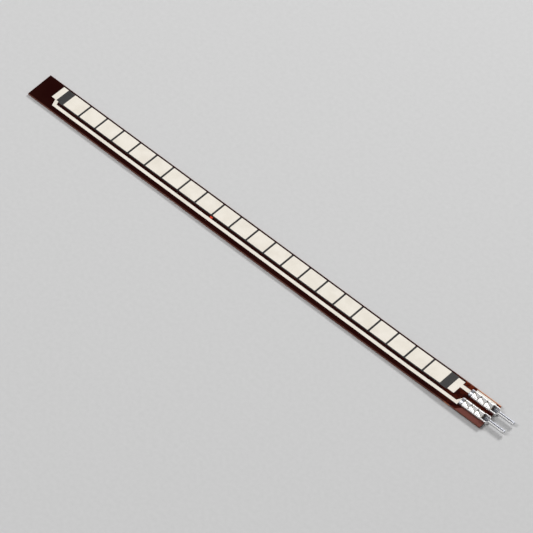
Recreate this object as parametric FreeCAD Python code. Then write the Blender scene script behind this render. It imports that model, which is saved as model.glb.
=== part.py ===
import FreeCAD, Part
import math
import os

# A printed bend sensor: a narrow amber film that carries a carbon track under a row of
# silver pads, a silver return trace beside it, and two crimped contacts at one end.
# Millimetres. +X runs along the strip towards the contact pins, +Y goes across it from
# the return trace to the carbon track, and +Z is up. The origin lies under the middle of
# the whole outline, on the surface that the strip lies on.

# Film
film_thickness = 0.38
far_margin = 3.8
cut_skew = 0.2

# Ink films, as printed and dried
silver_thickness = 0.03
carbon_thickness = 0.02
ink_corner = 0.08

# Row of pads on the carbon track
pad_count = 22
pad_pitch = 4.191
pad_gap = 0.381
pad_width = 3.25
row_to_edge = 0.37
carbon_border_low = 0.2
carbon_border_high = 0.05
bare_carbon = 1.715

# Silver terminals, which run on a little way under the ends of the carbon
far_terminal_length = 1.2
near_terminal_length = 1.47
near_terminal_inset = 0.12
carbon_lap = 0.52

# Return trace, its slanted link to the far terminal and its flare at the contact
trace_from_edge = 1.01
trace_width = 0.66
trace_to_row = 0.81
link_start = 0.92
link_lean = 0.6
link_inner_lean = 0.3
flare_length = 0.7

# Stub from the near terminal to its contact
stub_length = 2.02
stub_width = 0.76

# Silver landings that the contacts are crimped on
landing_start = 0.6
landing_inner_border = 0.07
landing_outer_border = 0.4
return_landing_border = 0.12

# Registration spot beside the return trace, just past the start of a gap between two pads
spot_length = 0.56
spot_width = 0.4
pads_before_spot = 9
spot_past_pad = 0.246
spot_from_trace = 0.09

# Contacts, each stamped and folded from one piece of sheet
contact_pitch = 2.54
contacts_off_middle = 0.26
sheet = 0.2
bend_radius = 0.1
body_width = 1.62
side_wall_rise = 0.14
crown_rise = 0.4
nose_flap_length = 0.6
nose_radius = 0.35
nose_gap = 0.12
tooth_count = 3
tooth_length = 1.34
tooth_tip = 0.3
tooth_reach = 0.12
tooth_gap = 0.08
flap_seam = 0.04
rear_wall_length = 1.12
rear_wall_rise = 0.34
neck_length = 0.5
pin_length = 3.3
pin_rise = 0.43
pin_thickness = 0.44
pin_width = 0.6
pin_edge_radius = 0.1
pin_seam = 0.1
closed_tip_length = 0.3
tip_chamfer = 0.1
film_past_notch = 0.97

# Fits
pierce_clearance = 0.02
touch_gap = 0.005

# Rise of the film from the surface onto the contacts' base plates
lift_radius = 200.0
lift_run = 8.0
lift_before_contact = 3.5

# Sizes that follow
film_width = trace_from_edge + trace_width + trace_to_row + pad_width + row_to_edge
pin_top = pin_rise + pin_thickness
silver_top = film_thickness + silver_thickness
carbon_top = film_thickness + carbon_thickness
print_top = carbon_top + silver_thickness
flat_half = body_width / 2 - sheet - bend_radius
slot_inner = flat_half - pierce_clearance
slot_outer = body_width / 2 + pierce_clearance
tooth_pitch = tooth_length + tooth_gap
side_wall_start = nose_flap_length + nose_gap
body_length = side_wall_start + tooth_count * tooth_pitch + rear_wall_length
contact_length = body_length + neck_length + pin_length
notch_start = body_length - rear_wall_length - pierce_clearance
rest_on_print = sheet + silver_top
side_wall_top = rest_on_print + side_wall_rise
crown = rest_on_print + crown_rise
rear_wall_top = rest_on_print + rear_wall_rise
pad_length = pad_pitch - pad_gap
row_length = pad_count * pad_pitch - pad_gap
active_length = row_length + 2 * bare_carbon
nose_from_end = far_margin + far_terminal_length + active_length
nose_from_end += near_terminal_length + stub_length
overall_length = cut_skew / 2 + nose_from_end + contact_length

# Stations along the strip
pin_end_x = overall_length / 2
nose_x = pin_end_x - contact_length
far_end_x = nose_x - nose_from_end
far_block_x = far_end_x + far_margin
track_start_x = far_block_x + far_terminal_length
track_end_x = track_start_x + active_length
near_block_end_x = track_end_x + near_terminal_length
near_end_x = nose_x + notch_start + film_past_notch
lift_end_x = nose_x - lift_before_contact
lift_start_x = lift_end_x - lift_run

# Lines across the strip
edge_y = -film_width / 2
trace_low_y = edge_y + trace_from_edge
trace_high_y = trace_low_y + trace_width
row_low_y = trace_high_y + trace_to_row
row_high_y = row_low_y + pad_width
near_block_high_y = row_high_y - near_terminal_inset
return_contact_y = contacts_off_middle - contact_pitch / 2
terminal_contact_y = contacts_off_middle + contact_pitch / 2


def in_plan(a, b):
    return FreeCAD.Vector(a, b, 0)


def from_side(a, b):
    return FreeCAD.Vector(a, 0, b)


def from_end(a, b):
    return FreeCAD.Vector(0, a, b)


def along(start, end, distance):
    """The point at a distance from start towards end."""
    span = math.dist(start, end)
    share = distance / span
    return (start[0] + (end[0] - start[0]) * share, start[1] + (end[1] - start[1]) * share)


def corner_arc(before, corner, after, radius):
    """First, middle and last point of the arc that rounds a corner, and the arc's centre."""
    to_before = math.atan2(before[1] - corner[1], before[0] - corner[0])
    to_after = math.atan2(after[1] - corner[1], after[0] - corner[0])
    half = abs(math.remainder(to_after - to_before, 2 * math.pi)) / 2
    setback = radius / math.tan(half)
    first = along(corner, before, setback)
    last = along(corner, after, setback)
    chord_middle = ((first[0] + last[0]) / 2, (first[1] + last[1]) / 2)
    centre = along(corner, chord_middle, radius / math.sin(half))
    middle = along(centre, corner, radius)
    return first, middle, last, centre


def chain(stops, place):
    """Edges through a list of stops, each a point or the three points of an arc."""
    edges = []
    reached = None
    for stop in stops:
        points = [place(*point) for point in stop]
        if reached is not None and reached.distanceToPoint(points[0]) > 1e-7:
            edges.append(Part.LineSegment(reached, points[0]).toShape())
        if len(points) == 3:
            edges.append(Part.Arc(*points).toShape())
        reached = points[-1]
    return edges


def rounded_wire(points, radii, place):
    """Closed outline whose corners are rounded by the radii, or sharp where a radius is 0."""
    stops = []
    for index, corner in enumerate(points):
        if radii[index] > 0:
            after = points[(index + 1) % len(points)]
            stops.append(corner_arc(points[index - 1], corner, after, radii[index])[:3])
        else:
            stops.append([corner])
    stops.append([stops[0][0]])
    return Part.Wire(chain(stops, place))


def beside(start, end, side):
    """Shift that carries a run from start to end sideways, to its left where side is positive."""
    span = math.dist(start, end)
    return (-(end[1] - start[1]) / span * side, (end[0] - start[0]) / span * side)


def parallel_stops(path, radius, side):
    """Stops of the curve that runs at a distance beside a path with rounded bends."""
    stops = []
    shift = beside(path[0], path[1], side)
    stops.append([(path[0][0] + shift[0], path[0][1] + shift[1])])
    for before, corner, after in zip(path, path[1:], path[2:]):
        first, middle, last, centre = corner_arc(before, corner, after, radius)
        moved = []
        for point, run in ((first, (before, corner)), (last, (corner, after))):
            shift = beside(*run, side)
            moved.append((point[0] + shift[0], point[1] + shift[1]))
        bend = math.dist(moved[0], centre)
        stops.append([moved[0], along(centre, middle, bend), moved[1]])
    shift = beside(path[-2], path[-1], side)
    stops.append([(path[-1][0] + shift[0], path[-1][1] + shift[1])])
    return stops


def bent_strip(path, radius, low, high, place):
    """Section of a bent sheet that lies between two distances beside its path."""
    lower = parallel_stops(path, radius, low)
    upper = [stop[::-1] for stop in reversed(parallel_stops(path, radius, high))]
    edges = chain(lower + upper + [lower[0]], place)
    return Part.Face(Part.Wire(edges))


def prism(points, low, high, radius=0):
    """Upright prism on an outline in plan, with all its corners rounded alike."""
    outline = rounded_wire(points, [radius] * len(points), in_plan)
    solid = Part.Face(outline).extrude(FreeCAD.Vector(0, 0, high - low))
    solid.translate(FreeCAD.Vector(0, 0, low))
    return solid


def rectangle(x_low, x_high, y_low, y_high):
    return [(x_low, y_low), (x_high, y_low), (x_high, y_high), (x_low, y_high)]


film_outline = [
    (far_end_x + cut_skew / 2, edge_y),
    (near_end_x + cut_skew / 2, edge_y),
    (near_end_x - cut_skew / 2, -edge_y),
    (far_end_x - cut_skew / 2, -edge_y),
]


def layer(low, high):
    """Sheet between two heights above the film's underside, which follows the film's rise."""
    spare = film_width
    path = [
        (far_end_x - spare, 0),
        (lift_start_x, 0),
        (lift_end_x, sheet),
        (near_end_x + spare, sheet),
    ]
    section = bent_strip(path, lift_radius, low, high, from_side)
    section.translate(FreeCAD.Vector(0, edge_y - spare, 0))
    return section.extrude(FreeCAD.Vector(0, film_width + 2 * spare, 0))


def printed(outline, low, high, corner=ink_corner):
    """One ink film with the given outline, between two heights above the film's underside."""
    top = sheet + print_top + film_width
    return layer(low, high).common(prism(outline, -film_width, top, corner))


# Walls along one side of a contact, each as its start and its length from the nose
walls = [(0, nose_flap_length), (side_wall_start, body_length - side_wall_start)]


def pierced_places():
    """Slots that the walls pass through and the notches that clear the rear ends."""
    places = []
    top = sheet + print_top + film_width
    for middle_y in (return_contact_y, terminal_contact_y):
        for start, length in walls:
            first = nose_x + start - pierce_clearance
            last = nose_x + start + length + pierce_clearance
            for side in (-1, 1):
                low, high = sorted((middle_y + side * slot_inner, middle_y + side * slot_outer))
                places.append(prism(rectangle(first, last, low, high), -film_width, top))
        notch = rectangle(
            nose_x + notch_start, near_end_x + film_width,
            middle_y - slot_outer, middle_y + slot_outer,
        )
        places.append(prism(notch, -film_width, top))
    return places


# Contact
def folded_tine(start, length, reach, plan):
    """A tine on the +Y side, folded up from the base plate and over to rest on the print."""
    wall = (body_width - sheet) / 2
    tip_height = rest_on_print + touch_gap + sheet / 2
    path = [
        (flat_half, sheet / 2),
        (wall, sheet / 2),
        (wall, crown - sheet / 2),
        (-reach, tip_height),
    ]
    centre_radius = bend_radius + sheet / 2
    section = bent_strip(path, centre_radius, -sheet / 2, sheet / 2, from_end)
    section.translate(FreeCAD.Vector(start, 0, 0))
    strip = section.extrude(FreeCAD.Vector(length, 0, 0))
    return strip.common(prism(plan, -sheet, crown + sheet))


def half_turn(solid, middle_x):
    """A copy turned half a turn about an upright line on the contact's middle."""
    turned = solid.copy()
    turned.rotate(FreeCAD.Vector(middle_x, 0, 0), FreeCAD.Vector(0, 0, 1), 180)
    return turned


def tooth_pair(start, length):
    """Two saw-shaped teeth whose slanted edges pass each other over the middle."""
    outer = body_width
    plan = [
        (start, outer),
        (start, flat_half),
        (start + length - tooth_tip, -tooth_reach),
        (start + length - tooth_tip, -outer),
        (start + length, -outer),
        (start + length, outer),
    ]
    tooth = folded_tine(start, length, tooth_reach, plan)
    return [tooth, half_turn(tooth, start + length / 2)]


def flap_pair(start, length):
    """Two straight flaps that meet over the middle at the nose."""
    plan = rectangle(start, start + length, -body_width, body_width)
    flap = folded_tine(start, length, -flap_seam / 2, plan)
    return [flap, flap.mirror(FreeCAD.Vector(0, 0, 0), FreeCAD.Vector(0, 1, 0))]


def channel_wire(x, low, top, width, gap, corner, inner_corner, top_corner):
    """Section of the folded channel: a floor one sheet thick between two side walls."""
    outer = width / 2
    inner = gap / 2
    floor = low + sheet
    points = [
        (-outer, low), (outer, low), (outer, top), (inner, top),
        (inner, floor), (-inner, floor), (-inner, top), (-outer, top),
    ]
    radii = [
        corner, corner, top_corner, 0,
        inner_corner, inner_corner, 0, top_corner,
    ]
    wire = rounded_wire(points, radii, from_end)
    wire.translate(FreeCAD.Vector(x, 0, 0))
    return wire


def between(first, last, share):
    return first + (last - first) * share


def neck_and_pin():
    """The channel as it narrows from the rear walls and rises and closes into the pin."""
    stations = 7
    wires = []
    for station in range(stations):
        share = station / (stations - 1)
        ease = (1 - math.cos(math.pi * share)) / 2
        wires.append(channel_wire(
            body_length + neck_length * share,
            between(0, pin_rise, ease),
            between(rear_wall_top, pin_top, ease),
            between(body_width, pin_width, ease),
            between(body_width - 2 * sheet, pin_seam, ease),
            between(sheet + bend_radius, pin_edge_radius, ease),
            between(bend_radius, pin_seam / 4, ease),
            between(pin_edge_radius / 4, pin_edge_radius, ease),
        ))
    rear = Part.Face(wires[0]).extrude(FreeCAD.Vector(-rear_wall_length, 0, 0))
    neck = Part.makeLoft(wires, True)
    open_length = pin_length - closed_tip_length
    pin = Part.Face(wires[-1]).extrude(FreeCAD.Vector(open_length, 0, 0))
    tip_start = body_length + neck_length + open_length
    tip_points = rectangle(-pin_width / 2, pin_width / 2, pin_rise, pin_top)
    tip_wire = rounded_wire(tip_points, [pin_edge_radius] * 4, from_end)
    tip = Part.Face(tip_wire).extrude(FreeCAD.Vector(closed_tip_length, 0, 0))
    tip.translate(FreeCAD.Vector(tip_start, 0, 0))
    return [rear, neck, pin, tip]


def contact():
    """One contact with its nose at x = 0, its middle on y = 0 and its base plate on z = 0."""
    plate_outline = rectangle(0, body_length - rear_wall_length, -flat_half, flat_half)
    pieces = [prism(plate_outline, 0, sheet)]
    pieces += flap_pair(0, nose_flap_length)
    section = Part.Face(channel_wire(
        side_wall_start, 0, side_wall_top, body_width, body_width - 2 * sheet,
        sheet + bend_radius, bend_radius, 0,
    ))
    pieces.append(section.extrude(FreeCAD.Vector(tooth_count * tooth_pitch, 0, 0)))
    for tooth in range(tooth_count):
        pieces += tooth_pair(side_wall_start + tooth * tooth_pitch, tooth_length)
    pieces += neck_and_pin()
    solid = pieces[0].multiFuse(pieces[1:])
    half = body_width / 2
    half_pin = pin_width / 2
    chamfer_x = contact_length - tip_chamfer
    plan = [
        (0, -half), (chamfer_x, -half), (chamfer_x, -half_pin),
        (contact_length, -half_pin + tip_chamfer), (contact_length, half_pin - tip_chamfer),
        (chamfer_x, half_pin), (chamfer_x, half), (0, half),
    ]
    rounding = [nose_radius] + [0] * 6 + [nose_radius]
    shadow = Part.Face(rounded_wire(plan, rounding, in_plan))
    solid = solid.common(shadow.extrude(FreeCAD.Vector(0, 0, crown + sheet)))
    side = [
        (0, 0), (chamfer_x, 0), (chamfer_x, pin_rise),
        (contact_length, pin_rise + tip_chamfer), (contact_length, pin_top - tip_chamfer),
        (chamfer_x, pin_top), (chamfer_x, crown + sheet), (0, crown + sheet),
    ]
    profile = Part.Face(rounded_wire(side, [0] * len(side), from_side))
    profile.translate(FreeCAD.Vector(0, -body_width, 0))
    solid = solid.common(profile.extrude(FreeCAD.Vector(0, 2 * body_width, 0)))
    return solid.removeSplitter()


# Printed silver
def return_outline():
    """Far terminal, slanted link, return trace and the landing of its contact, as one print."""
    lap_x = track_start_x + carbon_lap
    landing_end_x = nose_x + notch_start - pierce_clearance
    link_x = far_block_x + link_start
    before_nose_x = nose_x - 2 * pierce_clearance
    landing_low_y = return_contact_y - slot_inner + landing_inner_border
    landing_high_y = return_contact_y + slot_outer + return_landing_border
    return [
        (far_block_x, row_high_y),
        (far_block_x, row_low_y),
        (link_x, row_low_y),
        (link_x + link_lean, trace_low_y),
        (before_nose_x, trace_low_y),
        (before_nose_x, landing_low_y),
        (landing_end_x, landing_low_y),
        (landing_end_x, landing_high_y),
        (nose_x, landing_high_y),
        (nose_x - flare_length, trace_high_y),
        (lap_x + link_inner_lean, trace_high_y),
        (lap_x, row_low_y),
        (lap_x, row_high_y),
    ]


def near_outline():
    """Near terminal, its stub and the landing of its contact, as one print."""
    block_x = track_end_x - carbon_lap
    landing_x = nose_x + landing_start
    landing_end_x = nose_x + notch_start - pierce_clearance
    landing_low_y = terminal_contact_y - slot_inner + landing_inner_border
    landing_high_y = terminal_contact_y + slot_outer + landing_outer_border
    return [
        (block_x, row_low_y),
        (near_block_end_x, row_low_y),
        (near_block_end_x, terminal_contact_y - stub_width / 2),
        (landing_x, terminal_contact_y - stub_width / 2),
        (landing_x, landing_low_y),
        (landing_end_x, landing_low_y),
        (landing_end_x, landing_high_y),
        (landing_x, landing_high_y),
        (landing_x, terminal_contact_y + stub_width / 2),
        (near_block_end_x, terminal_contact_y + stub_width / 2),
        (near_block_end_x, near_block_high_y),
        (block_x, near_block_high_y),
    ]


def carbon_track(silver):
    """The carbon print, which steps up over the hidden ends of both terminals."""
    outline = rectangle(
        track_start_x, track_end_x, row_low_y - carbon_border_low, row_high_y + carbon_border_high
    )
    track = printed(outline, film_thickness, carbon_top)
    step = carbon_lap + carbon_thickness
    for first, last, high_y in (
        (track_start_x, track_start_x + step, row_high_y),
        (track_end_x - step, track_end_x, near_block_high_y),
    ):
        lap = rectangle(
            first, last, row_low_y - carbon_thickness, high_y + carbon_thickness
        )
        track = track.fuse(printed(lap, film_thickness, silver_top + carbon_thickness, 0))
    for ink in silver:
        track = track.cut(ink)
    return track.removeSplitter()


# Pieces
nodes = {}
pierced = pierced_places()
film = printed(film_outline, 0, film_thickness, 0)
nodes["film"] = film.cut(pierced)
for name, outline in (("return_trace", return_outline()), ("near_terminal", near_outline())):
    nodes[name] = printed(outline, film_thickness, silver_top, 0).cut(pierced)
nodes["carbon_track"] = carbon_track([nodes["return_trace"], nodes["near_terminal"]])

for index in range(pad_count):
    pad_x = track_start_x + bare_carbon + index * pad_pitch
    pad = rectangle(pad_x, pad_x + pad_length, row_low_y, row_high_y)
    nodes[f"pad_{index + 1:02d}"] = printed(pad, carbon_top, print_top)

spot_x = track_start_x + bare_carbon + pads_before_spot * pad_pitch - pad_gap + spot_past_pad
spot_y = trace_high_y + spot_from_trace
spot = rectangle(spot_x, spot_x + spot_length, spot_y, spot_y + spot_width)
nodes["registration_spot"] = printed(spot, film_thickness, carbon_top)

for name, middle_y in (
    ("return_contact", return_contact_y),
    ("terminal_contact", terminal_contact_y),
):
    piece = contact()
    piece.translate(FreeCAD.Vector(nose_x, middle_y, 0))
    nodes[name] = piece

os.makedirs("parts", exist_ok=True)
for name, shape in nodes.items():
    shape.exportStep(f"parts/{name}.step")
    box = shape.BoundBox
    print(
        f"{name}: {len(shape.Solids)} solid, {len(shape.Faces)} faces, {shape.Volume:.4f} mm3,",
        f"valid {shape.isValid()}, x {box.XMin:.3f} to {box.XMax:.3f},",
        f"y {box.YMin:.3f} to {box.YMax:.3f}, z {box.ZMin:.3f} to {box.ZMax:.3f}",
    )
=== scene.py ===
# %% [markdown]
# This scene dresses a printed bend sensor: a strip of dark amber film, a carbon track under a row
# of silver pads, a silver return trace, and two crimped tin-plated contacts. The construction
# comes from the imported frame, in metres, with +X along the strip towards the pins and +Z up. Here
# each surface gets its finish, and the film, the pads and the contacts get meshes of their own.

import math

import bmesh
import bpy
from mathutils import Matrix, Vector


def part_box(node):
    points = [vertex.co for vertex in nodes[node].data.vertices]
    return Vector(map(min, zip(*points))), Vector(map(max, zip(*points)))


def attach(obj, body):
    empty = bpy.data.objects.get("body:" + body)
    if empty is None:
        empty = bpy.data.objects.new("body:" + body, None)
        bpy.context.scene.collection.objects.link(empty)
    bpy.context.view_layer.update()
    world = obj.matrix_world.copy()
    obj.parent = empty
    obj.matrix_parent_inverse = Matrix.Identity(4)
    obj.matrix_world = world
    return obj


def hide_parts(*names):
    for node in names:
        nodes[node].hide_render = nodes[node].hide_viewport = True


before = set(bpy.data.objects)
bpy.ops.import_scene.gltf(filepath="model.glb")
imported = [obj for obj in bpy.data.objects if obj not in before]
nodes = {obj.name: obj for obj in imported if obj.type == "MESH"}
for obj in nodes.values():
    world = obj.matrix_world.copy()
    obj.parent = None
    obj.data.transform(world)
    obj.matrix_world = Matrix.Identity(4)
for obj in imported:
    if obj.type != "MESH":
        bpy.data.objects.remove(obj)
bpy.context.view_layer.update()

# %% [markdown]
# The strip's sizes are written in millimetres and turned into metres with one factor, because it
# is only half a millimetre thick and long decimals in metres are hard to read. Many places come
# from the frame, so that a finish stays where it belongs when the part changes.

# %% Places read from the frame
mm = 0.001
film_low, film_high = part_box("film")
contact_low, contact_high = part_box("return_contact")
contact_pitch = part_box("terminal_contact")[0].y - contact_low.y
pad_names = sorted(name for name in nodes if name.startswith("pad_"))
row_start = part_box(pad_names[0])[0].x
row_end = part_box(pad_names[-1])[1].x
print("film", [round(v / mm, 2) for v in film_high - film_low], "mm,", len(pad_names), "pads")

# %% [markdown]
# Shader maths could be built node by node, but sums read better. A small class wraps one socket
# of a node tree. Adding or multiplying two of them adds a Math node and gives back its output,
# wrapped again, so a mask is written as one expression.

# %% A class for shader maths
class Wire:
    """One output socket in a material's node tree."""

    def __init__(self, finish, socket):
        self.finish = finish
        self.socket = socket

    def math(self, operation, *others):
        node = self.finish.node("ShaderNodeMath", {"operation": operation})
        for slot, value in zip(node.inputs, (self, *others)):
            self.finish.feed(slot, value)
        return Wire(self.finish, node.outputs[0])

    def __add__(self, other):
        return self.math("ADD", other)

    def __radd__(self, other):
        return self.math("ADD", other)

    def __sub__(self, other):
        return self.math("SUBTRACT", other)

    def __rsub__(self, other):
        return (self * -1).math("ADD", other)

    def __mul__(self, other):
        return self.math("MULTIPLY", other)

    def __rmul__(self, other):
        return self.math("MULTIPLY", other)

    def step(self, low, high):
        """0 below low, 1 above high, and a smooth rise between them."""
        node = self.finish.node("ShaderNodeMapRange", {"interpolation_type": "SMOOTHSTEP"})
        self.finish.feed(node.inputs["Value"], self)
        self.finish.feed(node.inputs["From Min"], low)
        self.finish.feed(node.inputs["From Max"], high)
        return Wire(self.finish, node.outputs["Result"])

    def between(self, low, high, fade):
        """1 from low to high and 0 outside, with a fade inside each end."""
        return self.step(low, low + fade) * (1 - self.step(high - fade, high))


print("shader maths ready")

# %% [markdown]
# Each material is built from the same few things: the surface shader, the place on the object,
# noise of a known size, a blend of two colours and a relief. A second class holds them, and each
# finish below then says only what is special about its own surface.

# %% A class for finishes
class Finish:
    """A material under construction."""

    def __init__(self, name, **constants):
        self.material = bpy.data.materials.new(name)
        self.material.use_nodes = True
        self.tree = self.material.node_tree
        self.surface = self.tree.nodes["Principled BSDF"]
        for socket, value in constants.items():
            self.surface.inputs[socket.replace("_", " ")].default_value = value
        self.place = self.node("ShaderNodeTexCoord").outputs["Object"]
        parts = self.node("ShaderNodeSeparateXYZ", Vector=self.place)
        self.x = Wire(self, parts.outputs["X"])
        self.y = Wire(self, parts.outputs["Y"])

    def node(self, kind, settings=None, **inputs):
        node = self.tree.nodes.new(kind)
        for name, value in (settings or {}).items():
            setattr(node, name, value)
        for name, value in inputs.items():
            self.feed(node.inputs[name.replace("_", " ")], value)
        return node

    def feed(self, slot, value):
        if isinstance(value, Wire):
            self.tree.links.new(value.socket, slot)
        elif isinstance(value, bpy.types.NodeSocket):
            self.tree.links.new(value, slot)
        else:
            slot.default_value = value

    def set(self, **wires):
        for socket, value in wires.items():
            self.feed(self.surface.inputs[socket.replace("_", " ")], value)

    def geometry(self, output):
        """What the surface itself gives at each point, such as its normal."""
        return self.node("ShaderNodeNewGeometry").outputs[output]

    def facing_up(self):
        """1 where the surface faces up, 0 where it is upright, -1 where it faces down."""
        parts = self.node("ShaderNodeSeparateXYZ", Vector=self.geometry("Normal"))
        return Wire(self, parts.outputs["Z"])

    def noise(self, size, detail=3.0, roughness=0.5, stretch=(1, 1, 1)):
        """Soft noise from 0 to 1 whose blotches are about one size, in metres."""
        place = self.node("ShaderNodeMapping", Vector=self.place, Scale=stretch)
        node = self.node(
            "ShaderNodeTexNoise", Vector=place.outputs["Vector"], Scale=1 / size, Detail=detail,
            Roughness=roughness
        )
        return Wire(self, node.outputs["Fac"])

    def mix(self, share, low, high):
        """Blend of two colours, each a wrapped output or a triple of linear values."""
        node = self.node("ShaderNodeMix", {"data_type": "RGBA", "clamp_factor": True})
        for name, value in (("Factor_Float", share), ("A_Color", low), ("B_Color", high)):
            slot = next(s for s in node.inputs if s.identifier == name)
            self.feed(slot, (*value, 1.0) if isinstance(value, tuple) else value)
        output = next(s for s in node.outputs if s.identifier == "Result_Color")
        return Wire(self, output)

    def bump(self, height, distance):
        """Relief whose full height is a distance in metres."""
        node = self.node("ShaderNodeBump", Height=height, Distance=distance)
        self.feed(self.surface.inputs["Normal"], node.outputs["Normal"])


print("finishes can be built")

# %% [markdown]
# Every new piece is an object at the origin whose place is in its mesh. Its modifiers are turned
# into a plain mesh before the frame hears of it, and it takes the place of the frame's own nodes.

# %% Helpers for pieces
def new_object(name, mesh):
    piece = bpy.data.objects.new(name, mesh)
    bpy.context.scene.collection.objects.link(piece)
    return piece


def freeze(piece):
    """Replace the piece's mesh by the result of its modifiers, and remove them."""
    shown = piece.evaluated_get(bpy.context.evaluated_depsgraph_get())
    mesh = bpy.data.meshes.new_from_object(shown)
    piece.modifiers.clear()
    piece.data = mesh
    return piece


def wear(piece, material, slot, *stands_for):
    """Give a finished piece its material, and let it stand for nodes of the frame. The slot
    argument is not used.
    """
    piece.data.materials.clear()
    piece.data.materials.append(material)
    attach(piece, "root")
    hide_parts(*stands_for)


print("helpers ready")

# %% [markdown]
# The film looks almost black from above, with a deep red in it. Close to the contacts it is redder,
# in blotches that are stronger towards the far edge. A pinkish field in the near corner, which
# starts along a slant, is a painted reflection of a light on the film.

# %% Colour inside the film's face
redder_from = contact_low.x - 4.9 * mm
redder_full = contact_low.x - 1.9 * mm


def near_contacts(film):
    """0 along the strip, 1 near the contacts."""
    return film.x.step(redder_from, redder_full)


def film_body(film):
    deep = (0.0070, 0.0003, 0.0002)
    warm = (0.0110, 0.0018, 0.0011)
    red = (0.170, 0.024, 0.007)
    cloud = film.noise(5 * mm, detail=2.0)
    body = film.mix(cloud.step(0.35, 0.7), deep, warm)
    far_side = film.y.step(1.6 * mm, 2.8 * mm)
    blotches = film.noise(0.9 * mm, detail=2.0)
    redder_share = near_contacts(film) * (0.2 + 0.8 * far_side) * blotches.step(0.38, 0.66)
    return film.mix(redder_share, body, red)


# Painted reflection: a pinkish field in the near corner, beyond a slant, where a light is mirrored.
def film_painted_reflection(film, body):
    reflection_pink = (0.170, 0.062, 0.050)
    slant = 0.85
    corner = contact_low.x - slant * film_low.y
    beyond_slant = (film.x - slant * film.y).step(corner + 0.15 * mm, corner + 0.35 * mm)
    beside_contact = 1 - film.y.step(contact_low.y - 0.17 * mm, contact_low.y - 0.07 * mm)
    reflection_unevenness = film.noise(0.35 * mm, detail=4.0)
    return film.mix(beyond_slant * beside_contact * (0.75 + 0.35 * reflection_unevenness), body, reflection_pink)


print("colours of the film's face ready")

# %% [markdown]
# Light that enters near an edge finds a short way out, so a thin rim of the face is painted a
# lighter red as rim light, and beside the contacts the far rim is painted with an orange glow. The
# cut sides show the plastic's amber, painted lighter and pinkish as the glow of light through the
# edge, with faint streaks from the cutting, and one painted brighter glow a little before the
# contacts.

# %% Colour and painted glow at the film's edges
# Painted rim light: a lighter red along the edges, and a painted orange glow on the far rim by the
# contacts.
def film_rim_light(film, body):
    rim = (0.130, 0.036, 0.022)
    painted_glow = (0.880, 0.460, 0.270)
    middle = (film_low.y + film_high.y) / 2
    from_side = (film_high.y - middle) - (film.y - middle).math("ABSOLUTE")
    from_edge = from_side.math("MINIMUM", film.x - film_low.x)
    body = film.mix(0.6 - 0.6 * from_edge.step(0.02 * mm, 0.14 * mm), body, rim)
    far_edge = film.y.step(film_high.y - 0.2 * mm, film_high.y - 0.08 * mm)
    beside_contacts = film.x.step(contact_low.x + 0.1 * mm, contact_low.x + 1.0 * mm)
    share = far_edge * (0.15 * near_contacts(film) + 0.75 * beside_contacts)
    return film.mix(share, body, painted_glow)


# Painted glow on the upright cut sides, with one brighter painted glow spot before the contacts.
def film_sides_glow(film):
    amber_low = (0.080, 0.030, 0.020)
    amber_high = (0.200, 0.105, 0.080)
    side_glow = (0.50, 0.20, 0.10)
    streaks = film.noise(0.5 * mm, detail=3.0, stretch=(0.2, 1, 1))
    amber = film.mix(streaks.step(0.25, 0.75), amber_low, amber_high)
    side_glow_middle = contact_low.x - 1.5 * mm
    off_side_glow = (film.x - side_glow_middle).math("ABSOLUTE").step(0.4 * mm, 0.9 * mm)
    return film.mix(0.75 - 0.75 * off_side_glow, amber, side_glow)


print("colours of the film's edges ready")

# %% [markdown]
# What light comes back from the film has passed through the amber layer, so its reflections are
# reddish too. A translucent shader would be the other way, but in the photo the film is too dark
# for light to show through it, so a red specular tint carries that colour on a plain surface.

# %% Film finish
def film_finish():
    film = Finish("film_amber", Roughness=0.18, IOR=1.5)
    film.surface.inputs["Specular IOR Level"].default_value = 0.35
    film.surface.inputs["Specular Tint"].default_value = (1.0, 0.12, 0.08, 1.0)
    face = film_rim_light(film, film_painted_reflection(film, film_body(film)))
    upright = 1 - film.facing_up().math("ABSOLUTE").step(0.3, 0.8)
    film.set(Base_Color=film.mix(upright, face, film_sides_glow(film)))
    film.bump(film.noise(2.5 * mm, detail=2.0), 0.006 * mm)
    return film.material


film_look = film_finish()
print("film:", len(film_look.node_tree.nodes), "nodes")

# %% [markdown]
# Silver ink is flake in a clear binder. Printed through a mesh it dries to a pale, almost white
# skin with a fine grain, so most of its light is scattered and only a little is mirrored. A
# metal shader would look like foil. The grain has the mesh's pitch, and faint clouds lie over it.

# %% Silver ink finish
def silver_finish():
    silver = Finish("silver_ink", Metallic=0.05)
    silver.surface.inputs["Specular IOR Level"].default_value = 0.25
    pale = (0.90, 0.85, 0.765)
    dull = (0.75, 0.695, 0.60)
    grain = silver.noise(0.08 * mm, detail=4.0, roughness=0.65)
    cloud = silver.noise(2.4 * mm, detail=2.0)
    tone = grain.step(0.25, 0.62) * 0.55 + cloud.step(0.25, 0.7) * 0.45
    silver.set(Base_Color=silver.mix(tone, dull, pale), Roughness=0.5 + 0.25 * grain)
    silver.bump(grain, 0.005 * mm)
    return silver.material


silver_look = silver_finish()
print("silver:", len(silver_look.node_tree.nodes), "nodes")

# %% [markdown]
# Carbon ink is a matte dark grey. It was printed before the pads, so it shows only in the narrow
# gaps, as a thin border, and as a dark block at each end of the row. Between the thick pads it
# lies in a ditch, and it is painted darker there than on the open blocks, as shade in the ditch.

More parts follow.
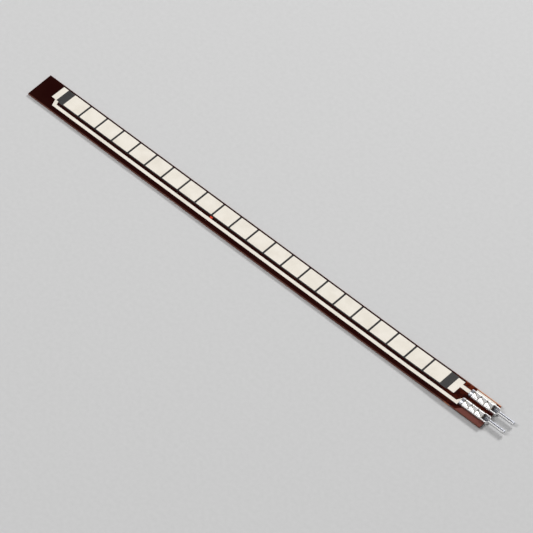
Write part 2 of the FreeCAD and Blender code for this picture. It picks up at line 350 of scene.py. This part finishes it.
# %% Carbon ink finish
def carbon_finish():
    carbon = Finish("carbon_ink")
    carbon.surface.inputs["Specular IOR Level"].default_value = 0.25
    dark = (0.026, 0.026, 0.027)
    light = (0.052, 0.051, 0.050)
    ditch_shade = (0.012, 0.012, 0.013)
    grain = carbon.noise(0.11 * mm, detail=4.0, roughness=0.6)
    ink = carbon.mix(grain.step(0.3, 0.7), dark, light)
    among_pads = carbon.x.between(row_start, row_end, fade=0.2 * mm)
    # Painted shade in the ditch between the pads.
    ink = carbon.mix(among_pads * 0.6, ink, ditch_shade)
    carbon.set(Base_Color=ink, Roughness=0.5 + 0.2 * grain)
    carbon.bump(grain, 0.004 * mm)
    return carbon.material


carbon_look = carbon_finish()
print("carbon:", len(carbon_look.node_tree.nodes), "nodes")

# %% [markdown]
# The small spot beside the row is taken for a registration mark, which helps to line one ink up
# with the next. It is a strong orange red, with a fine grain like that of the other prints.

# %% Registration spot finish
def spot_finish():
    spot = Finish("spot_ink")
    spot.surface.inputs["Specular IOR Level"].default_value = 0.2
    deep = (0.52, 0.020, 0.003)
    bright = (0.66, 0.045, 0.008)
    grain = spot.noise(0.1 * mm, detail=3.0)
    spot.set(Base_Color=spot.mix(grain.step(0.3, 0.7), deep, bright), Roughness=0.45 + 0.2 * grain)
    return spot.material


spot_look = spot_finish()
print("spot:", len(spot_look.node_tree.nodes), "nodes")

# %% [markdown]
# Tin plate on a stamped part is bright but not a mirror. It carries faint lines along the strip
# from rolling, and dull spots where the tool pressed it. The painted shade and reflections have
# fixed places on a contact, so they are masked by two measures: how far a point is from the nose,
# and how far it is from the contact's middle line. The second one repeats with the pitch of the
# contacts, so that one material serves both.

# %% Places on a contact
def contact_places(tin):
    """Distance from the nose along the strip, and from the contact's middle line across it."""
    along = tin.x - contact_low.x
    middle = (contact_low.y + contact_high.y) / 2
    from_border = tin.y - (middle - contact_pitch / 2)
    across = from_border.math("FLOORED_MODULO", contact_pitch) - contact_pitch / 2
    return along, across


print("contacts lie", round(contact_pitch / mm, 2), "mm apart")

# %% [markdown]
# The nose is painted grey-blue as a dark reflection, a grey line is painted as the shadow where the
# tool folded the teeth over, and the open recess behind the teeth is painted dark as shade. The pin
# is painted bluer as a reflection, most on its far half, and the seam where its walls meet is
# painted almost black as shade. The line, the recess and the seam belong to the upper side, so a
# mask keeps them off the plain sheet underneath.

# %% Painted shade and reflections on a contact
nose_reflection_grey = (0.26, 0.27, 0.30)
fold_shadow_grey = (0.16, 0.16, 0.19)
pin_reflection_blue = (0.42, 0.44, 0.52)
recess_shade_dark = (0.10, 0.11, 0.135)
seam_shade_dark = (0.05, 0.05, 0.06)
fold_aside = 0.54 * mm


def tin_painted_light(tin, tone, spots):
    along, across = contact_places(tin)
    aside = across.math("ABSOLUTE")
    above = tin.facing_up().step(-0.6, -0.3)
    nose = 1 - along.step(0.5 * mm, 0.8 * mm)
    # Painted reflection: the nose is darkened to grey-blue.
    tone = tin.mix(nose * (0.7 + 0.3 * spots), tone, nose_reflection_grey)
    # Painted shadow: a grey line where the teeth fold over.
    off_fold = (aside - fold_aside).math("ABSOLUTE").step(0.02 * mm, 0.06 * mm)
    crimped = along.step(0.7 * mm, 0.8 * mm) * (1 - along.step(4.8 * mm, 5.0 * mm))
    tone = tin.mix(crimped * above * (0.6 - 0.6 * off_fold), tone, fold_shadow_grey)
    # Painted reflection: the pin is made bluer, most on its far half.
    pin = along.step(6.3 * mm, 6.8 * mm)
    far_half = across.step(-0.1 * mm, 0.1 * mm)
    tone = tin.mix(pin * (0.15 + 0.6 * far_half), tone, pin_reflection_blue)
    inside = above * (1 - aside.step(0.5 * mm, 0.64 * mm))
    # Painted shade in the open recess behind the teeth.
    recess = along.step(4.85 * mm, 5.05 * mm) * (1 - along.step(5.9 * mm, 6.5 * mm))
    tone = tin.mix(recess * inside * 0.9, tone, recess_shade_dark)
    # Painted shade in the seam where the pin's walls meet.
    before_tip = 1 - tin.x.step(contact_high.x - 0.45 * mm, contact_high.x - 0.3 * mm)
    seam = above * pin * before_tip * (1 - aside.step(0.05 * mm, 0.12 * mm))
    return tin.mix(seam * 0.9, tone, seam_shade_dark)


print("marks ready")

# %% [markdown]
# Last, hollows are painted darker as shade wherever they are. Pointiness is low in them, which
# needs a mesh with many small faces, and the contacts have one.

# %% Tin plate finish
def tin_finish():
    tin = Finish("tin_plate", Metallic=0.9)
    dull = (0.60, 0.60, 0.61)
    bright = (0.88, 0.87, 0.85)
    hollow_shade = (0.14, 0.14, 0.16)
    lines = tin.noise(0.05 * mm, detail=3.0, stretch=(0.12, 1, 1))
    spots = tin.noise(0.3 * mm, detail=3.0)
    shade = lines.step(0.3, 0.7) * 0.45 + spots.step(0.3, 0.62) * 0.55
    tone = tin_painted_light(tin, tin.mix(shade, dull, bright), spots)
    # Painted shade in the hollows, found by low pointiness.
    hollow = 1 - Wire(tin, tin.geometry("Pointiness")).step(0.40, 0.50)
    tin.set(Base_Color=tin.mix(hollow * 0.8, tone, hollow_shade), Roughness=0.30 + 0.2 * spots)
    tin.bump(lines * 0.5 + spots * 0.5, 0.004 * mm)
    return tin.material


tin_look = tin_finish()
print("tin:", len(tin_look.node_tree.nodes), "nodes")

# %% [markdown]
# The prints with plain outlines keep the frame's own meshes and only get a finish: the carbon
# track, the two silver conductors and the registration spot.

# %% Finishes for the nodes that stay
plain_prints = {
    "carbon_track": carbon_look,
    "registration_spot": spot_look,
    "return_trace": silver_look,
    "near_terminal": silver_look,
}
for node_name, material in plain_prints.items():
    mesh = nodes[node_name].data
    mesh.materials.clear()
    mesh.materials.append(material)
print("dressed", len(plain_prints), "nodes of the frame")

# %% [markdown]
# The film and the contacts start from copies of the frame's meshes, whose loose triangles are
# joined at their corners first. Where a bevel follows, triangles that lie in one plane are also
# merged into whole faces, so that it rounds real edges only. The remesher can't work with voxels
# of microns in metres, so these pieces are worked on in millimetres.

# %% A copy to work on, in millimetres
joint_reach = 0.0001


def merged_copy(node_name, piece_name, merge_angle=0.0):
    mesh = nodes[node_name].data.copy()
    mesh.transform(Matrix.Scale(1 / mm, 4))
    form = bmesh.new()
    form.from_mesh(mesh)
    bmesh.ops.remove_doubles(form, verts=form.verts, dist=joint_reach)
    if merge_angle:
        bmesh.ops.dissolve_limit(
            form, angle_limit=math.radians(merge_angle), verts=form.verts, edges=form.edges
        )
    form.to_mesh(mesh)
    form.free()
    return new_object(piece_name, mesh)


def freeze_in_metres(piece):
    freeze(piece)
    piece.data.transform(Matrix.Scale(mm, 4))


print("copies can be made")

# %% [markdown]
# The film is cut with a steel rule die, which leaves its edges a little rounded: the outline, the
# notches and the slots that the contacts pass through. A bevel does that. It stays flat shaded,
# because smooth shading would bend the reflection on the whole face.

# %% The film with rounded edges
def rounded_film(width=0.03, sharp_angle=40):
    piece = merged_copy("film", "film_strip", merge_angle=0.05)
    rounding = piece.modifiers.new("rounding", "BEVEL")
    rounding.width = width
    rounding.segments = 3
    rounding.limit_method = "ANGLE"
    rounding.angle_limit = math.radians(sharp_angle)
    freeze_in_metres(piece)
    piece.data.shade_flat()
    wear(piece, film_look, "film", "film")
    return piece


film_strip = rounded_film()
print("film:", len(film_strip.data.polygons), "faces")

# %% [markdown]
# The film lies flat for most of its length. Before the contacts it rises onto their base plates
# in two wide bends. The rise has a simple rule: a parabola starts at each end of a bend, and
# adding the four of them gives the height anywhere along the strip.

# %% The film's rise
bend_radius = 200 * mm
slope_run = 8 * mm
flat_at_contacts = 3.5 * mm
film_thickness = 0.38 * mm
rise = film_high.z - film_low.z - film_thickness
half_bend = bend_radius * math.tan(math.atan(rise / slope_run) / 2)
slope_end = contact_low.x - flat_at_contacts
slope_start = slope_end - slope_run
turning_points = [
    (slope_start - half_bend, 1), (slope_start + half_bend, -1),
    (slope_end - half_bend, -1), (slope_end + half_bend, 1),
]


def lift(x):
    """Height of the film's underside above the floor at a place along the strip."""
    return sum(sign * max(0, x - turn) ** 2 for turn, sign in turning_points) / (2 * bend_radius)


print("rise at the last pad", round(lift(row_end) / mm, 3), "mm, at the contacts",
      round(lift(contact_low.x) / mm, 3), "mm")

# %% [markdown]
# The pads repeat, so they are made by Geometry Nodes: one tree makes the whole row from a few
# named sizes. A tree is easier to read as calls than as dozens of nodes, so a class builds it, as
# the class for finishes does for materials.

# %% A class for trees that make geometry
class Tree:
    """A Geometry Nodes tree under construction."""

    def __init__(self, name):
        self.group = bpy.data.node_groups.new(name, "GeometryNodeTree")
        self.values = {}
        self.inputs = self.group.nodes.new("NodeGroupInput")

    def size(self, name, value, kind="NodeSocketFloat"):
        """A named input with its value, and the socket that gives it inside the tree."""
        socket = self.group.interface.new_socket(name, in_out="INPUT", socket_type=kind)
        self.values[socket.identifier] = value
        return next(s for s in self.inputs.outputs if s.identifier == socket.identifier)

    def node(self, kind, settings=None, **inputs):
        node = self.group.nodes.new(kind)
        for name, value in (settings or {}).items():
            setattr(node, name, value)
        for name, value in inputs.items():
            self.feed(self.slot(node, name.replace("_", " ")), value)
        return node

    def slot(self, node, name):
        return next(s for s in node.inputs if s.name == name and s.enabled)

    def feed(self, slot, value):
        if isinstance(value, bpy.types.NodeSocket):
            self.group.links.new(value, slot)
        elif isinstance(value, bpy.types.Node):
            self.group.links.new(next(s for s in value.outputs if s.enabled), slot)
        else:
            slot.default_value = value

    def math(self, operation, *values):
        node = self.node("ShaderNodeMath", {"operation": operation})
        for slot, value in zip(node.inputs, values):
            self.feed(slot, value)
        return node.outputs[0]

    def parts(self, vector):
        """The X, Y and Z of a vector, as outputs with these names."""
        return self.node("ShaderNodeSeparateXYZ", Vector=vector).outputs

    def moved(self, geometry, selection=True, x=0.0, y=0.0, z=0.0):
        """Geometry whose points, or the selected ones, are moved by an offset."""
        offset = self.node("ShaderNodeCombineXYZ", X=x, Y=y, Z=z)
        return self.node(
            "GeometryNodeSetPosition", Geometry=geometry, Selection=selection, Offset=offset
        )

    def extruded(self, mesh, selection=True, height=0.0):
        """A mesh whose selected faces are drawn up by a height, with walls below them."""
        node = self.node(
            "GeometryNodeExtrudeMesh", Mesh=mesh, Selection=selection, Offset_Scale=height,
            Individual=False
        )
        return node.outputs["Mesh"], node.outputs["Top"]

    def finish(self, geometry):
        self.group.interface.new_socket(
            "Geometry", in_out="OUTPUT", socket_type="NodeSocketGeometry"
        )
        output = self.group.nodes.new("NodeGroupOutput")
        self.feed(output.inputs[0], geometry)

    def run(self, name):
        """A new object with what the tree makes, as a plain mesh."""
        piece = new_object(name, bpy.data.meshes.new(name))
        modifier = piece.modifiers.new(name, "NODES")
        modifier.node_group = self.group
        for identifier, value in self.values.items():
            modifier[identifier] = value
        return freeze(piece)


print("tree builder ready")

# %% [markdown]
# A pad starts as a flat skin: a rectangle with rounded corners, cut into many short edges and
# filled with a face. One skin is put on each point of a line and made real. Before that, each
# point keeps its place within its own pad in an attribute, because the next step has to know
# which way is outwards.

# %% Flat skins in a row
outline_points = 420
pad_low, pad_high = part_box(pad_names[0])
pad_middle = (pad_low + pad_high) / 2
pad_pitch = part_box(pad_names[1])[0].x - pad_low.x


def pad_skins(tree):
    length = tree.size("Pad length", pad_high.x - pad_low.x)
    width = tree.size("Pad width", pad_high.y - pad_low.y)
    corner = tree.size("Corner radius", 0.08 * mm)
    outline = tree.node("GeometryNodeCurvePrimitiveQuadrilateral", Width=length, Height=width)
    rounded = tree.node("GeometryNodeFilletCurve", Curve=outline, Radius=corner)
    evenly = tree.node("GeometryNodeResampleCurve", Curve=rounded, Count=outline_points)
    skin = tree.node("GeometryNodeFillCurve", Curve=evenly)
    marked = tree.node(
        "GeometryNodeStoreNamedAttribute", {"data_type": "FLOAT_VECTOR"}, Geometry=skin,
        Name="away", Value=tree.node("GeometryNodeInputPosition")
    )
    count = tree.size("Count", len(pad_names), "NodeSocketInt")
    pitch = tree.node("ShaderNodeCombineXYZ", X=tree.size("Pitch", pad_pitch))
    start = Vector((pad_middle.x, pad_middle.y, 0))
    line = tree.node("GeometryNodeMeshLine", Count=count, Offset=pitch, Start_Location=start)
    placed = tree.node("GeometryNodeInstanceOnPoints", Points=line, Instance=marked)
    return tree.node("GeometryNodeRealizeInstances", Geometry=placed)


print("pads", [round(v / mm, 2) for v in pad_high - pad_low], "mm, pitch", round(pad_pitch / mm, 3))

# %% [markdown]
# Ink pressed through a mesh never has a straight edge. Noise with a fixed seed moves each point
# of the outline inwards, by at most the wobble's size, so no pad grows past its box.

# %% Uneven printed edges
edge_grain = 0.12 * mm


def with_printed_edges(tree, skins):
    wobble = tree.size("Edge wobble", 0.012 * mm)
    seed = tree.size("Seed", 7.0)
    grain = tree.node(
        "ShaderNodeTexNoise", {"noise_dimensions": "4D"}, W=seed, Scale=1 / edge_grain, Detail=1.0
    )
    depth = tree.parts(grain.outputs["Color"])
    away = tree.parts(
        tree.node("GeometryNodeInputNamedAttribute", {"data_type": "FLOAT_VECTOR"}, Name="away")
    )
    shift = {}
    for axis in "XY":
        outward = tree.math("MULTIPLY", tree.math("SIGN", away[axis]), wobble)
        shift[axis] = tree.math("MULTIPLY", tree.math("SUBTRACT", depth[axis], 1.0), outward)
    return tree.moved(skins, x=shift["X"], y=shift["Y"])


print("edges ready")

# %% [markdown]
# The skin gets its thickness by extrusion. The top face is then extruded once more by nothing,
# drawn in a little and sunk, which leaves the low rim that wet ink forms as it dries. Extrusion
# leaves a pad open below, so a flipped copy of the skin closes it, and the shape is a solid.

# %% Thickness, rim and underside
inner_share = 0.985
weld_reach = 0.001 * mm


def with_thickness(tree, skins):
    thickness = tree.size("Thickness", pad_high.z - pad_low.z)
    rim = tree.size("Rim height", 0.004 * mm)
    raised, top = tree.extruded(skins, height=thickness)
    inset, inner = tree.extruded(raised, selection=top)
    shrunk = tree.node(
        "GeometryNodeScaleElements", Geometry=inset, Selection=inner, Scale=inner_share
    )
    sunk = tree.moved(shrunk, selection=inner, z=tree.math("MULTIPLY", rim, -1.0))
    closed = tree.node("GeometryNodeJoinGeometry")
    for shell in (sunk, tree.node("GeometryNodeFlipFaces", Mesh=skins)):
        tree.feed(tree.slot(closed, "Geometry"), shell)
    return tree.node("GeometryNodeMergeByDistance", Geometry=closed, Distance=weld_reach)


print("rims ready")

# %% [markdown]
# At the end the row is laid on the carbon. The tree repeats the rule of the film's rise, so the
# last pads climb with it.

# %% The row of pads
def laid_on_film(tree, pads):
    here = tree.parts(tree.node("GeometryNodeInputPosition"))
    height = pad_low.z
    for turn, sign in turning_points:
        past = tree.math("MAXIMUM", tree.math("SUBTRACT", here["X"], turn), 0.0)
        bend = tree.math("MULTIPLY", tree.math("MULTIPLY", past, past), sign / 2 / bend_radius)
        height = tree.math("ADD", bend, height)
    return tree.moved(pads, z=height)


def pad_row():
    tree = Tree("pad row")
    ink = tree.size("Ink", silver_look, "NodeSocketMaterial")
    skins = with_printed_edges(tree, pad_skins(tree))
    pads = laid_on_film(tree, with_thickness(tree, skins))
    real = tree.node("GeometryNodeRealizeInstances", Geometry=pads)
    tree.finish(tree.node("GeometryNodeSetMaterial", Geometry=real, Material=ink))
    return tree.run("pads")


pads = pad_row()
wear(pads, silver_look, "silver_ink", *pad_names)
print("pads:", len(pads.data.vertices), "points, box",
      [round(v / mm, 3) for v in pads.bound_box[0]], [round(v / mm, 3) for v in pads.bound_box[6]])

# %% [markdown]
# The contacts are stamped from thin sheet and plated, so no edge on them is sharp. A fine voxel
# mesh of the folded solid, relaxed a little, rounds the cut edges and the bends as the tool and
# the plating do. Most of its faces lie on flat sheet, so more than half of them can be merged
# again.

# %% Contacts with soft edges
def soften(node_name, piece_name, voxel=0.02, passes=9, kept_share=0.42):
    piece = merged_copy(node_name, piece_name)
    voxels = piece.modifiers.new("voxels", "REMESH")
    voxels.mode = "VOXEL"
    voxels.voxel_size = voxel
    voxels.use_smooth_shade = True
    relaxed = piece.modifiers.new("relaxed", "SMOOTH")
    relaxed.factor = 0.5
    relaxed.iterations = passes
    thinned = piece.modifiers.new("thinned", "DECIMATE")
    thinned.ratio = kept_share
    freeze_in_metres(piece)
    wear(piece, tin_look, "tinned_contact", node_name)
    return piece


for node_name, piece_name in (("return_contact", "return_crimp"),
                              ("terminal_contact", "terminal_crimp")):
    crimp = soften(node_name, piece_name)
    print(piece_name, len(crimp.data.polygons), "faces")

# %% [markdown]
# The sensor lies on a plain pale floor, a matte sheet with a very faint grain. It is large, so
# that no edge of it comes into view or into a reflection, and it lies a hair below the part.

# %% Floor
floor_half = 1.5
floor_drop = 0.01 * mm


def floor_finish():
    paper = Finish("floor_paper", Roughness=0.85)
    paper.surface.inputs["Specular IOR Level"].default_value = 0.1
    dim = (0.60, 0.60, 0.60)
    light = (0.66, 0.66, 0.66)
    paper.set(Base_Color=paper.mix(paper.noise(0.8 * mm, detail=3.0), dim, light))
    return paper.material


corners = [(-floor_half, -floor_half, 0), (floor_half, -floor_half, 0),
           (floor_half, floor_half, 0), (-floor_half, floor_half, 0)]
floor_mesh = bpy.data.meshes.new("floor")
floor_mesh.from_pydata(corners, [], [(0, 1, 2, 3)])
floor_mesh.materials.append(floor_finish())
floor = new_object("floor", floor_mesh)
floor.location.z = -floor_drop
print("floor", 2 * floor_half, "m wide")

# %% [markdown]
# In the photo the light comes from behind the strip and throws a short shadow to the near side. A
# softbox there is the key. A second one in front lights the near shoulders of the contacts, and a
# weak one overhead and the pale world fill the rest. They are weak enough that the silver pads
# stay below pure white and keep their cream colour.

# %% Lamps and world
ambient = 0.26


def direction(azimuth, elevation):
    """Unit vector from the part towards a lamp or a camera; azimuth 0 is on the -Y side."""
    turn = math.radians(azimuth)
    tilt = math.radians(elevation)
    return Vector(
        (math.sin(turn) * math.cos(tilt), -math.cos(turn) * math.cos(tilt), math.sin(tilt))
    )


def softbox(name, azimuth, elevation, distance, width, height, power):
    """A rectangular lamp that faces the part."""
    light = bpy.data.lights.new(name, "AREA")
    light.shape = "RECTANGLE"
    light.size = width
    light.size_y = height
    light.energy = power
    lamp = new_object(name, light)
    back = direction(azimuth, elevation)
    lamp.location = back * distance
    lamp.rotation_euler = back.to_track_quat("Z", "Y").to_euler()


softbox("key", azimuth=186, elevation=34, distance=0.8, width=0.24, height=0.18, power=4.5)
softbox("front", azimuth=320, elevation=48, distance=0.9, width=0.36, height=0.28, power=2.7)
softbox("overhead", azimuth=60, elevation=80, distance=0.9, width=0.5, height=0.5, power=0.8)
world = bpy.data.worlds.new("studio")
world.use_nodes = True
world.node_tree.nodes["Background"].inputs["Color"].default_value = (1, 1, 1, 1)
world.node_tree.nodes["Background"].inputs["Strength"].default_value = ambient
bpy.context.scene.world = world

# %% [markdown]
# The camera stands where the photo's did. Its place was fitted to the grid of pads: it looks down
# at the near side from the pins' end, from far off with a long lens, and is rolled by three
# degrees.

# %% Camera
view_azimuth = 40.3
view_elevation = 50.93
view_roll = 3.17
view_distance = 0.65436
view_target = Vector((2.38, -2.22, 0)) * mm
view_lens = 248.8
sensor_width = 36


def photo_camera():
    back = direction(view_azimuth, view_elevation)
    turn = math.radians(view_azimuth)
    roll = math.radians(view_roll)
    level = Vector((math.cos(turn), math.sin(turn), 0))
    right = level * math.cos(roll) + back.cross(level) * math.sin(roll)
    lens = bpy.data.cameras.new("photo_camera")
    lens.sensor_width = sensor_width
    lens.lens = view_lens
    lens.clip_start = 0.01
    lens.clip_end = 10
    camera = new_object("photo_camera", lens)
    turned = Matrix((right, back.cross(right), back)).transposed().to_4x4()
    camera.matrix_world = Matrix.Translation(view_target + back * view_distance) @ turned
    return camera


bpy.context.scene.camera = photo_camera()
bpy.context.scene.view_settings.view_transform = "Standard"
print("camera", round(view_distance, 3), "m away")
